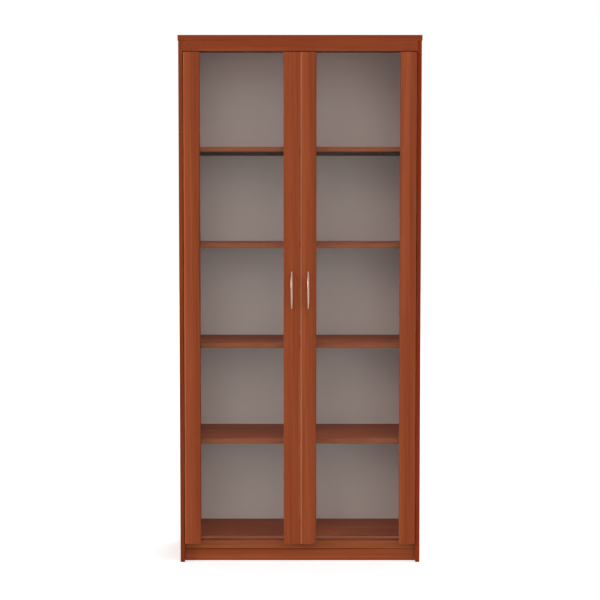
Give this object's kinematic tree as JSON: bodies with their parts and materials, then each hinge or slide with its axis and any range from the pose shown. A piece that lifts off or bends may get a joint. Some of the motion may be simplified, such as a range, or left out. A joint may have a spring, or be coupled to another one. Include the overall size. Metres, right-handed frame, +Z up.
{
  "type": "bookcase with glass doors",
  "caption": "Tall wood-finish bookcase: full-width shelves behind a pair of side-hung glass doors with bowed stiles, slim bow handles, a plinth and a plain light back.",
  "frame": {"origin": "on the floor, under the middle of the whole bookcase with its handles", "axes": "+X to the right as seen from the front, +Y from the doors to the back, +Z up"},
  "size_m": [0.904, 0.406, 1.97],
  "materials": {
    "case_wood": "satin red-brown wood grain",
    "door_wood": "satin red-brown wood grain",
    "back_board": "pale grey-beige lacquer",
    "back_strip": "pale grey-beige",
    "dowel_wood": "raw beech",
    "glass": "clear float glass",
    "glass_trim": "light red-brown",
    "seal": "soft dark brown",
    "handle_metal": "satin nickel",
    "hinge_steel": "bright nickel",
    "fastener_steel": "zinc plated",
    "zinc": "die-cast zinc",
    "catch_plastic": "dark brown",
    "magnet": "dark ferrite",
    "glide_plastic": "black"
  },
  "bodies": {
    "carcass": {"top_panel": "case_wood", "top_fascia": "case_wood", "bottom_panel": "case_wood", "plinth": "case_wood", "back_panel_left": "back_board", "back_panel_right": "back_board", "back_joining_strip": "back_strip", "back_panel_nails": "fastener_steel", "shelf_1": "case_wood", "shelf_2": "case_wood", "shelf_3": "case_wood", "shelf_4": "case_wood", "shelf_pins": "fastener_steel", "floor_glides": "glide_plastic", "dowels": "dowel_wood", "cam_locks": "zinc", "cam_bolts": "fastener_steel", "wall_brackets": "hinge_steel", "wall_bracket_screws": "fastener_steel", "top_catch": "catch_plastic", "bottom_catch": "catch_plastic", "catch_magnets": "magnet", "catch_screws": "fastener_steel", "left_side_panel": "case_wood", "left_hinge_arms": "hinge_steel", "left_hinge_plates": "hinge_steel", "left_hinge_plate_screws": "fastener_steel", "left_hinge_arm_screws": "fastener_steel", "right_side_panel": "case_wood", "right_hinge_arms": "hinge_steel", "right_hinge_plates": "hinge_steel", "right_hinge_plate_screws": "fastener_steel", "right_hinge_arm_screws": "fastener_steel"},
    "left_door": {"left_hinge_cups": "hinge_steel", "left_hinge_pins": "fastener_steel", "left_hinge_cup_screws": "fastener_steel", "left_door_hinge_stile": "door_wood", "left_door_closing_stile": "door_wood", "left_door_glass": "glass", "left_door_glass_seals": "seal", "left_door_glass_trim": "glass_trim", "left_door_glass_pegs": "fastener_steel", "left_door_handle": "handle_metal", "left_door_handle_screws": "fastener_steel", "left_strike_plates": "fastener_steel", "left_strike_screws": "fastener_steel"},
    "right_door": {"right_hinge_cups": "hinge_steel", "right_hinge_pins": "fastener_steel", "right_hinge_cup_screws": "fastener_steel", "right_door_hinge_stile": "door_wood", "right_door_closing_stile": "door_wood", "right_door_glass": "glass", "right_door_glass_seals": "seal", "right_door_glass_trim": "glass_trim", "right_door_glass_pegs": "fastener_steel", "right_door_handle": "handle_metal", "right_door_handle_screws": "fastener_steel", "right_strike_plates": "fastener_steel", "right_strike_screws": "fastener_steel"}
  },
  "joints": [
    {"name": "left_door_hinge", "type": "hinge", "parent": "carcass", "child": "left_door", "pos_m": [-0.418, -0.162, 0.9895], "axis": [0, 0, -1], "range_deg": [0, 95]},
    {"name": "right_door_hinge", "type": "hinge", "parent": "carcass", "child": "right_door", "pos_m": [0.418, -0.162, 0.9895], "axis": [0, 0, 1], "range_deg": [0, 95]}
  ]
}
